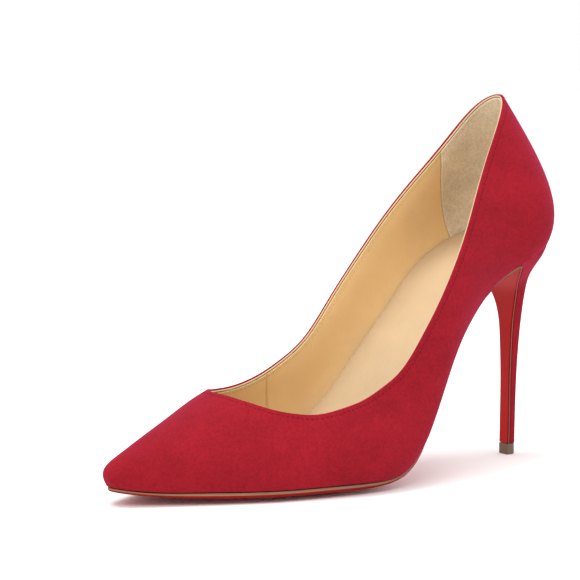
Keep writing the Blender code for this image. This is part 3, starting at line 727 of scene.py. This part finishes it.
def sole_mesh():
    """The sole as one closed body: top face, rounded edges and lacquered underside."""
    top, thickness = sole_top()
    down = unit(np.cross(np.gradient(top, axis=0), np.gradient(top, axis=1)))
    nose = smooth_step(top[:, SOLE_SHARES, 0], *SOLE_NOSE)[:, None, None]
    down = unit(nose * down + (1 - nose) * np.array([0, 0, -1.0]))
    breast = len(top) - FLAP_ROWS
    flap = smooth_step(np.arange(len(top)), breast - FLAP_TURN, breast + FLAP_TURN)
    top = top + down * SOLE_GAP * (1 - flap[:, None, None])
    drop = down * thickness[:, None, None]
    bottom = top + drop
    out = {0: unit(top[:, 0] - top[:, 1]), -1: unit(top[:, -1] - top[:, -2])}

    def wall(column, share, bulge):
        return (top[:, column] + share * drop[:, column] + bulge * out[column])[:, None]

    for column in (0, -1):
        bottom[:, column] -= EDGE_ROUND * out[column]
    bottom[:, :, 2] = np.maximum(bottom[:, :, 2], 0)
    right = [wall(-1, share, bulge) for share, bulge in SOLE_EDGE]
    left = [wall(0, share, bulge) for share, bulge in SOLE_EDGE[::-1]]
    for column in (0, -1):
        top[:, column] -= EDGE_ROUND * out[column]
    rows = np.concatenate([top, *right, bottom[:, ::-1], *left, top[:, :1]], axis=1)
    column = np.tile(np.arange(rows.shape[1]), (len(rows), 1))
    mesh = grid_mesh(rows, [("column", column)])
    layer = mesh.verts.layers.float["column"]
    first = top.shape[1] + RAW_ROWS - 1
    last = rows.shape[1] - 1 - RAW_ROWS
    bottom_first = top.shape[1] + len(SOLE_EDGE)
    bottom_last = bottom_first + 2 * SOLE_SHARES
    # Edge faces past the raw rows take the darker copy of the lacquer, which is painted shade.
    for face in mesh.faces:
        inside = [first <= vert[layer] <= last for vert in face.verts]
        under = [bottom_first <= vert[layer] <= bottom_last for vert in face.verts]
        face.material_index = 1 if all(under) else 2 if all(inside) else 0
    border = [edge for edge in mesh.edges if edge.is_boundary]
    bmesh.ops.holes_fill(mesh, edges=border, sides=0)
    bmesh.ops.recalc_face_normals(mesh, faces=mesh.faces)
    return mesh


def stitches(spots, length, width):
    """One mesh of short round stitches; each spot is its middle, outward and along, in the frame."""
    mesh = bmesh.new()
    for point, outward, along in spots:
        turn = Matrix((along, outward.cross(along), outward)).transposed().to_4x4()
        size = Matrix.Diagonal((length * MM / 2, width * MM / 2, width * MM / 2, 1))
        bmesh.ops.create_uvsphere(
            mesh, u_segments=6, v_segments=5, radius=1,
            matrix=Matrix.Translation(point) @ turn @ size @ Matrix.Rotation(math.pi / 2, 4, "Y"),
        )
    return mesh


def seam_spots(frames, surface, distance, pitch, flip):
    """Stitch places on a surface, at a distance below the topline and a pitch along it."""
    steps, length = steps_along(np.array([point for point, _, _, _ in frames + frames[:1]]))
    count = int(length[-1] / (pitch * MM))
    spots = []
    for number in range(count):
        at = (number + 0.5) * length[-1] / count
        index = int(np.searchsorted(length, at)) - 1
        share = (at - length[index]) / steps[index]
        after = frames[(index + 1) % len(frames)]
        point, outward, up, along = [
            first.lerp(second, share) for first, second in zip(frames[index], after)
        ]
        found, normal, _, _ = surface.find_nearest(point - up.normalized() * distance * MM)
        normal = -normal if flip else normal
        along = (along - along.dot(normal) * normal).normalized()
        spots.append((found, normal, along))
    return spots


# Finishes -------------------------------------------------------------------------------------

class Finish:
    """A material under construction: a Principled shader with patterns on Object coordinates."""

    def __init__(self, name, roughness, specular=0.5, metallic=0.0):
        self.material = bpy.data.materials.get(name) or bpy.data.materials.new(name)
        self.material.use_nodes = True
        self.nodes, self.links = self.material.node_tree.nodes, self.material.node_tree.links
        self.nodes.clear()
        output = self.nodes.new("ShaderNodeOutputMaterial")
        self.shader = self.nodes.new("ShaderNodeBsdfPrincipled")
        self.links.new(self.shader.outputs["BSDF"], output.inputs["Surface"])
        self.set(Roughness=roughness, Specular_IOR_Level=specular, Metallic=metallic)
        self.place = self.nodes.new("ShaderNodeTexCoord").outputs["Object"]

    def set(self, **values):
        for name, value in values.items():
            self.shader.inputs[name.replace("_", " ")].default_value = value

    def stretched(self, scale, turn=(0, 0, 0)):
        mapping = self.nodes.new("ShaderNodeMapping")
        mapping.inputs["Scale"].default_value = scale
        mapping.inputs["Rotation"].default_value = turn
        self.links.new(self.place, mapping.inputs["Vector"])
        return mapping.outputs["Vector"]

    def noise(self, scale, detail=2.0, rough=0.5, where=None):
        made = self.nodes.new("ShaderNodeTexNoise")
        made.inputs["Scale"].default_value = scale
        made.inputs["Detail"].default_value = detail
        made.inputs["Roughness"].default_value = rough
        self.links.new(where or self.place, made.inputs["Vector"])
        return made.outputs["Fac"]

    def cells(self, scale):
        made = self.nodes.new("ShaderNodeTexVoronoi")
        made.inputs["Scale"].default_value = scale
        self.links.new(self.place, made.inputs["Vector"])
        return made.outputs["Distance"]

    def span(self, value, low=0.3, high=0.7, to_low=0.0, to_high=1.0):
        made = self.nodes.new("ShaderNodeMapRange")
        for name, number in (
            ("From Min", low), ("From Max", high), ("To Min", to_low), ("To Max", to_high)
        ):
            made.inputs[name].default_value = number
        self.links.new(value, made.inputs["Value"])
        return made.outputs["Result"]

    def mix(self, factor, first, second):
        made = self.nodes.new("ShaderNodeMix")
        made.data_type = "RGBA"
        self.links.new(factor, made.inputs["Factor"])
        for name, value in (("A", first), ("B", second)):
            socket = next(s for s in made.inputs if s.name == name and s.type == "RGBA")
            if isinstance(value, bpy.types.NodeSocket):
                self.links.new(value, socket)
            else:
                socket.default_value = (*value, 1)
        return next(s for s in made.outputs if s.type == "RGBA")

    def bump(self, height, distance, strength=1.0, below=None):
        made = self.nodes.new("ShaderNodeBump")
        made.inputs["Distance"].default_value = distance * MM
        made.inputs["Strength"].default_value = strength
        self.links.new(height, made.inputs["Height"])
        if below:
            self.links.new(below, made.inputs["Normal"])
        return made.outputs["Normal"]

    def wear(self, colour=None, normal=None, roughness=None):
        for name, value in (("Base Color", colour), ("Normal", normal), ("Roughness", roughness)):
            if value:
                self.links.new(value, self.shader.inputs[name])
        return self.material


def shade(colour, factor):
    return tuple(min(1.0, channel * factor) for channel in colour[:3])


def suede(name, colour, tint):
    """Brushed suede: soft patches where the nap lies differently, fine fibres and a pale bloom."""
    made = Finish(name, 0.95, 0.08)
    made.set(Sheen_Weight=0.22, Sheen_Roughness=0.4, Sheen_Tint=tint)
    patches = made.span(made.noise(55, 7, 0.72, made.stretched((0.7, 1, 1.2))), 0.34, 0.66)
    fleck = made.span(made.noise(900, 4, 0.7))
    fibres = made.noise(2600, 3, 0.7, made.stretched((1, 1, 0.45), (0.3, 0.5, 0)))
    base = made.mix(patches, shade(colour, 0.78), shade(colour, 1.02))
    light = made.mix(patches, shade(colour, 1.1), shade(colour, 1.42))
    tone = made.mix(fleck, base, light)
    nap = made.bump(made.noise(900, 4, 0.7), 0.16, 0.7)
    return made.wear(tone, made.bump(fibres, 0.1, 0.8, nap))


def smooth_leather(name, colour, roughness=0.5, grain=0.05, creases=0.25):
    """Lining leather: close grain, faint creases and uneven dye."""
    made = Finish(name, roughness, 0.35)
    dye = made.span(made.noise(45, 5, 0.6))
    pores = made.cells(1500)
    base = made.mix(dye, shade(colour, 0.94), shade(colour, 1.04))
    tone = made.mix(made.span(pores, 0.0, 0.25, 0.12, 0.0), base, shade(colour, 0.7))
    folds = made.bump(made.noise(90, 3, 0.6), creases, 0.35)
    gloss = made.span(made.noise(220, 3), to_low=roughness - 0.06, to_high=roughness + 0.08)
    return made.wear(tone, made.bump(pores, grain, 0.8, folds), gloss)


def lacquer(name, colour):
    """Red lacquer over sole leather, with faint scuffs and brush marks along the shoe."""
    made = Finish(name, 0.36, 0.07)
    streaks = made.noise(160, 2, 0.5, made.stretched((0.12, 1, 0.3)))
    cloud = made.span(made.noise(30, 4, 0.6))
    base = made.mix(cloud, shade(colour, 0.9), shade(colour, 1.1))
    gloss = made.span(streaks, to_low=0.32, to_high=0.44)
    return made.wear(base, made.bump(made.noise(60, 2), 0.1, 0.15), gloss)


def cut_edge(name, colour):
    """Raw edge of sole leather: packed fibres along the cut."""
    made = Finish(name, 0.7, 0.3)
    layers = made.noise(1500, 4, 0.7, made.stretched((0.08, 0.08, 1)))
    tone = made.mix(made.span(layers), shade(colour, 0.75), shade(colour, 1.15))
    return made.wear(tone, made.bump(layers, 0.06, 0.7))


def thread(name, colour):
    """Twisted sewing thread."""
    made = Finish(name, 0.75, 0.06)
    twist = made.noise(3500, 2, 0.6, made.stretched((1, 1, 1), (0, 0.6, 0.6)))
    tone = made.mix(made.span(twist), shade(colour, 0.75), shade(colour, 1.2))
    return made.wear(tone, made.bump(twist, 0.05, 0.6))


def grained(name, colour, roughness, scale, depth, contrast=0.15, metallic=0.0, stretch=(1, 1, 1)):
    """A plain solid with a fine grain, such as plastic, board, cork, foam or drawn steel."""
    made = Finish(name, roughness, metallic=metallic)
    grain = made.noise(scale, 4, 0.65, made.stretched(stretch))
    low, high = shade(colour, 1 - contrast), shade(colour, 1 + contrast)
    tone = made.mix(made.span(grain), low, high)
    gloss = made.span(grain, to_low=max(roughness - 0.1, 0.05), to_high=min(roughness + 0.1, 1))
    return made.wear(tone, made.bump(grain, depth, 0.6), gloss)


def red_suede():
    chosen = settings()
    return suede("red suede", chosen.suede_colour, (*chosen.bloom_colour, 1))


def stiffener_felt():
    return grained("stiffener felt", STIFFENER_COLOUR, 0.85, 1800, 0.08)


# Sizes and colours that a user would change ---------------------------------------------------

def colour_choice(name, description, default):
    return bpy.props.FloatVectorProperty(
        name=name, description=description, default=default, subtype="COLOR", size=3,
        min=0.0, max=1.0,
    )


def length_choice(name, description, default):
    return bpy.props.FloatProperty(
        name=name, description=description, default=default * MM, subtype="DISTANCE",
        unit="LENGTH", min=0.0, precision=5,
    )


class PumpSettings(bpy.types.PropertyGroup):
    """Colours and small sizes of the pump."""

    suede_colour: colour_choice("Suede", "Colour of the upper and heel", (0.22, 0.0072, 0.0134))
    bloom_colour: colour_choice("Bloom", "Tint of the suede's pale bloom", (1.0, 0.08, 0.32))
    sole_colour: colour_choice("Sole", "Colour of the lacquered sole", (0.4, 0.0105, 0.0095))
    edge_colour: colour_choice("Sole Edge", "Colour of the sole's cut edge", (0.25, 0.125, 0.068))
    lining_colour: colour_choice("Lining", "Colour of the lining leather", (0.74, 0.5, 0.235))
    sock_colour: colour_choice("Sock", "Colour of the sock leather", (0.53, 0.385, 0.228))
    grip_colour: colour_choice("Heel Grip", "Colour of the heel grip suede", (0.62, 0.51, 0.36))
    thread_colour: colour_choice("Thread", "Colour of the topline thread", (0.14, 0.005, 0.01))
    tip_colour: colour_choice("Heel Tip", "Colour of the wear tip", (0.13, 0.08, 0.05))
    seam_distance: length_choice("Seam Distance", "Stitches below the topline edge", 1.6)
    stitch_pitch: length_choice("Stitch Pitch", "Distance from stitch to stitch", 1.9)
    stitch_length: length_choice("Stitch Length", "Length of one stitch", 1.4)
    thread_width: length_choice("Thread Width", "Width of the sewing thread", 0.3)
    hem_radius: length_choice("Hem Radius", "Radius of the folded topline edge", HEM_RADIUS)


def settings():
    return bpy.context.scene.pump


def topline_sheet():
    """The outside of the upper, grooved for its seam, with the frames round its topline."""
    mesh = wall_sheet(-BACK, BACK, 0, settings().hem_radius / MM)
    sewing_groove(mesh, settings().seam_distance / MM)
    back_seam(mesh)
    mesh.normal_update()
    frames = [
        (vert.co.copy(), outward, up, along) for vert, outward, up, along in rim_frames(mesh)
    ]
    return mesh, frames


class PUMP_OT_upper(bpy.types.Operator):
    """Build the suede upper with its folded topline and back seam"""

    bl_idname = "pump.upper"
    bl_label = "Suede Upper"

    def execute(self, context):
        mesh, _ = topline_sheet()
        roll_hem(mesh, settings().hem_radius / MM, HEM_TAIL)
        made = finish_object("upper_shell", mesh, [red_suede()], SHEET_ANGLE)
        thicken(made, UPPER_SKIN, True)
        keep(made, "suede", "upper_suede")
        return {"FINISHED"}


class PUMP_OT_topline(bpy.types.Operator):
    """Sew the topline: stitches outside and inside, and the fine bead along the lining"""

    bl_idname = "pump.topline"
    bl_label = "Topline Seam"

    def execute(self, context):
        chosen = settings()
        mesh, frames = topline_sheet()
        distance, pitch = chosen.seam_distance / MM, chosen.stitch_pitch / MM
        surface = BVHTree.FromBMesh(mesh)
        length, width = chosen.stitch_length / MM, chosen.thread_width / MM
        outer = stitches(seam_spots(frames, surface, distance, pitch, False), length, width)
        red = thread("red thread", chosen.thread_colour)
        keep(finish_object("topline_stitches", outer, [red]), "suede")
        sink(mesh, lining_depth(mesh, LINING_SKIN))
        surface = BVHTree.FromBMesh(mesh)
        width *= INNER_THREAD_SHARE
        inner = stitches(seam_spots(frames, surface, distance, pitch, True), length, width)
        pale = thread("pale thread", shade(chosen.lining_colour, 0.8))
        keep(finish_object("lining_stitches", inner, [pale]), "tan_leather")
        mesh.free()
        outward = np.array([frame[1] for frame in frames])
        up = np.array([frame[2] for frame in frames])
        edge = np.array([to_design(frame[0]) for frame in frames])
        inwards = 2 * chosen.hem_radius / MM + BEAD_RADIUS * BEAD_REACH
        bead = round_bar(edge - inwards * outward + BEAD_RISE * up, outward, up, BEAD_RADIUS)
        leather = smooth_leather("bead leather", shade(chosen.sock_colour, 1.05), 0.5)
        keep(finish_object("topline_bead", bead, [leather]), "tan_leather")
        return {"FINISHED"}


def lining_depth(mesh, extra=0.0):
    """Depth of the lining under the outside: close to the edge at the top, deeper below."""
    below = mesh.verts.layers.float["below"]

    def depth(vert):
        share = float(smooth_step(vert[below], *LINING_SPAN))
        return LINING_TOP_DEPTH + share * (LINING_DEPTH - LINING_TOP_DEPTH) + extra

    return depth


class PUMP_OT_linings(bpy.types.Operator):
    """Build the leather linings of the vamp and quarters, and the suede heel grip"""

    bl_idname = "pump.linings"
    bl_label = "Linings"

    def execute(self, context):
        chosen = settings()
        tan = smooth_leather("lining leather", chosen.lining_colour)
        pale = suede("grip suede", chosen.grip_colour, (1, 0.9, 0.8, 1))
        clear, drop = NOSE_CLEAR * LINING_DEPTH, chosen.hem_radius / MM + LINING_DROP
        for name, node, slot, finish, start, stop in (
            ("vamp_leather", "vamp_lining", "tan_leather", tan, -VAMP_END, VAMP_END),
            ("outer_quarter_leather", "outer_quarter_lining", "tan_leather", tan, VAMP_END,
             GRIP_START),
            ("inner_quarter_leather", "inner_quarter_lining", "tan_leather", tan, -GRIP_START,
             -VAMP_END),
            ("heel_grip", "heel_grip_lining", "pale_lining", pale, GRIP_START,
             2 * BACK - GRIP_START),
        ):
            mesh = wall_sheet(start + SEAM_GAP, stop - SEAM_GAP, clear, drop)
            sink(mesh, lining_depth(mesh))
            made = finish_object(name, mesh, [finish], SHEET_ANGLE)
            thicken(made, LINING_SKIN)
            keep(made, slot, node)
        return {"FINISHED"}


class PUMP_OT_stiffeners(bpy.types.Operator):
    """Build the toe puff and the heel counter between the suede and the lining"""

    bl_idname = "pump.stiffeners"
    bl_label = "Stiffeners"

    def execute(self, context):
        felt = stiffener_felt()
        for name, node, start, stop, drop in (
            ("toe_stiffener", "toe_puff", -PUFF_END, PUFF_END, 0),
            ("heel_stiffener", "heel_counter", COUNTER_START, 2 * BACK - COUNTER_START,
             COUNTER_DROP),
        ):
            mesh = wall_sheet(start, stop, NOSE_CLEAR * STIFFENER_DEPTH, drop)
            sink(mesh, STIFFENER_DEPTH)
            made = finish_object(name, mesh, [felt], SHEET_ANGLE)
            thicken(made, STIFFENER_THICKNESS)
            keep(made, "stiffener", node)
        return {"FINISHED"}


class PUMP_OT_sock(bpy.types.Operator):
    """Build the leather sock that covers the insole"""

    bl_idname = "pump.sock"
    bl_label = "Sock"

    def execute(self, context):
        shares = np.linspace(0, 1, SOCK_SHARES)
        rows = []
        for place in ring(-BACK, BACK):
            side, u = side_of(place)
            nose = SOCK_LEVEL * (1 - smooth_step(u[0], *SOCK_NOSE))
            lean = WALL_LEAN_SHARE * SOCK_LEVEL * math.tan(side.lean(u)[0, 0])
            rows.append(bottom_row(place, SOCK_CLEAR + nose - lean, shares))
        mesh = grid_mesh(rows)
        sink(mesh, SOCK_LEVEL)
        leather = smooth_leather("sock leather", settings().sock_colour, 0.45, 0.04, 0.3)
        made = finish_object("sock_leather", mesh, [leather])
        thicken(made, SOCK_THICKNESS)
        soften(made, 0.3)
        keep(made, "tan_leather", "sock_lining")
        return {"FINISHED"}


class PUMP_OT_sole(bpy.types.Operator):
    """Build the leather sole with its cut edge, lacquered underside and breast flap"""

    bl_idname = "pump.sole"
    bl_label = "Sole"

    def execute(self, context):
        chosen = settings()
        edge = cut_edge("sole edge", chosen.edge_colour)
        red = lacquer("sole lacquer", chosen.sole_colour)
        # The edge's lacquer is a darker copy of the underside's lacquer: painted shade.
        lacquer_with_painted_shade = lacquer("sole edge lacquer with painted shade", shade(chosen.sole_colour, EDGE_LACQUER_PAINTED_SHADE))
        made = finish_object("leather_sole", sole_mesh(), [edge, red, lacquer_with_painted_shade], SOLID_ANGLE)
        keep(made, "red_sole", "outsole")
        return {"FINISHED"}


class PUMP_OT_heel(bpy.types.Operator):
    """Build the suede heel cover and the wear tip under it"""

    bl_idname = "pump.heel"
    bl_label = "Heel"

    def execute(self, context):
        levels = np.concatenate([np.linspace(*SEAT_LEVELS), np.linspace(*STEM_LEVELS)])
        mesh = grid_mesh([cover_outline(level) for level in levels])
        bmesh.ops.reverse_faces(mesh, faces=mesh.faces)
        made = finish_object("heel_suede", mesh, [red_suede()], SHEET_ANGLE)
        thicken(made, COVER_THICKNESS)
        keep(made, "suede", "heel_cover")
        outline = heel_outline(len(HEEL) - 1, 0, TOP_PIECE_TURNS) * (1, 1, 0)
        tip = bmesh.new()
        face = tip.faces.new([tip.verts.new(point) for point in to_frame(outline)])
        grown = bmesh.ops.extrude_face_region(tip, geom=[face])["geom"]
        lifted = [item for item in grown if isinstance(item, bmesh.types.BMVert)]
        bmesh.ops.translate(tip, verts=lifted, vec=(0, 0, TOP_PIECE_HEIGHT * MM))
        bmesh.ops.recalc_face_normals(tip, faces=tip.faces)
        rubber = grained("tip rubber", settings().tip_colour, 0.6, 1400, 0.05)
        made = finish_object("heel_tip", tip, [rubber], SOLID_ANGLE)
        soften(made, 0.22, 3)
        keep(made, "rubber", "top_piece")
        return {"FINISHED"}


class PUMP_OT_inner_parts(bpy.types.Operator):
    """Finish the hidden pieces that stay as the frame has them"""

    bl_idname = "pump.inner_parts"
    bl_label = "Inner Parts"

    def execute(self, context):
        board = grained("insole board", (0.42, 0.3, 0.18), 0.85, 700, 0.08, 0.25)
        foam = grained("sock foam", (0.85, 0.82, 0.7), 0.95, 1200, 0.15, 0.08)
        cork = grained("cork filler", (0.45, 0.29, 0.16), 0.9, 420, 0.2, 0.4)
        steel = grained("drawn steel", (0.62, 0.62, 0.63), 0.35, 900, 0.01, 0.08, 1.0, (0.06, 1, 1))
        core = grained("heel plastic", (0.75, 0.73, 0.68), 0.5, 500, 0.03, 0.05)
        worn = {
            stiffener_felt(): ("outer_topline_tape", "inner_topline_tape"),
            board: ("insole_board",),
            foam: ("sock_foam",),
            cork: ("bottom_filler",),
            steel: (
                "shank", "front_shank_rivet", "rear_shank_rivet", "heel_rod", "top_piece_pin",
                "heel_screw", "heel_nail_1", "heel_nail_2", "heel_nail_3", "heel_nail_4",
            ),
            core: ("heel_core",),
        }
        for finish, nodes in worn.items():
            for node in nodes:
                for place in frame["nodes"][node].material_slots:
                    place.material = finish
        return {"FINISHED"}


class PUMP_OT_stage(bpy.types.Operator):
    """Lay the pale floor and set the soft lights and the camera"""

    bl_idname = "pump.stage"
    bl_label = "Stage"

    def execute(self, context):
        scene = context.scene
        mesh = bmesh.new()
        bmesh.ops.create_grid(mesh, x_segments=1, y_segments=1, size=FLOOR_SIZE)
        paper = Finish("floor paper", 0.8, 0.2)
        paper.set(Base_Color=(0.93, 0.93, 0.93, 1))
        tone = paper.mix(paper.span(paper.noise(3, 2)), (0.92,) * 3, (0.94,) * 3)
        floor = finish_object("floor", mesh, [paper.wear(tone)])
        world = bpy.data.worlds.get("soft sky") or bpy.data.worlds.new("soft sky")
        world.use_nodes = True
        sky = world.node_tree.nodes["Background"]
        sky.inputs["Color"].default_value = (1, 1, 1, 1)
        sky.inputs["Strength"].default_value = SKY_STRENGTH
        scene.world = world
        for name, place, size, power in LIGHTS:
            drop_old(name)
            lamp = bpy.data.lights.new(name, "AREA")
            lamp.shape = "DISK"
            lamp.size = size
            lamp.energy = power
            made = bpy.data.objects.new(name, lamp)
            scene.collection.objects.link(made)
            made.location = place
            aim = Vector(LIGHT_AIM) - made.location
            made.rotation_euler = aim.to_track_quat("-Z", "Y").to_euler()
        drop_old("camera")
        lens = bpy.data.cameras.new("camera")
        lens.lens = CAMERA_LENS
        lens.sensor_width = CAMERA_SENSOR
        lens.clip_end = CAMERA_REACH
        eye = bpy.data.objects.new("camera", lens)
        scene.collection.objects.link(eye)
        eye.location = Vector(to_frame(CAMERA_PLACE))
        turn, dip = CAMERA_TURN
        look = Vector((
            math.sin(turn) * math.cos(dip), math.cos(turn) * math.cos(dip), -math.sin(dip)
        ))
        eye.rotation_euler = look.to_track_quat("-Z", "Y").to_euler()
        scene.camera = eye
        scene.view_settings.view_transform = "Standard"
        return {"FINISHED"}


class PUMP_PT_panel(bpy.types.Panel):
    """Sidebar panel with the pump's settings and builders"""

    bl_idname = "PUMP_PT_panel"
    bl_label = "High Heel Pump"
    bl_space_type = "VIEW_3D"
    bl_region_type = "UI"
    bl_category = "Pump"

    def draw(self, context):
        for name in PumpSettings.__annotations__:
            self.layout.prop(context.scene.pump, name)
        for operator in OPERATORS:
            self.layout.operator(operator.bl_idname)


OPERATORS = (
    PUMP_OT_upper, PUMP_OT_topline, PUMP_OT_linings, PUMP_OT_stiffeners, PUMP_OT_sock,
    PUMP_OT_sole, PUMP_OT_heel, PUMP_OT_inner_parts, PUMP_OT_stage,
)
CLASSES = (PumpSettings, *OPERATORS, PUMP_PT_panel)


def register():
    for made in CLASSES:
        bpy.utils.register_class(made)
    bpy.types.Scene.pump = bpy.props.PointerProperty(type=PumpSettings)


def unregister():
    del bpy.types.Scene.pump
    for made in reversed(CLASSES):
        bpy.utils.unregister_class(made)


def main():
    register()
    bpy.ops.pump.upper()
    bpy.ops.pump.topline()
    bpy.ops.pump.linings()
    bpy.ops.pump.stiffeners()
    bpy.ops.pump.sock()
    bpy.ops.pump.sole()
    bpy.ops.pump.heel()
    bpy.ops.pump.inner_parts()
    bpy.ops.pump.stage()


if __name__ == "__main__":
    main()
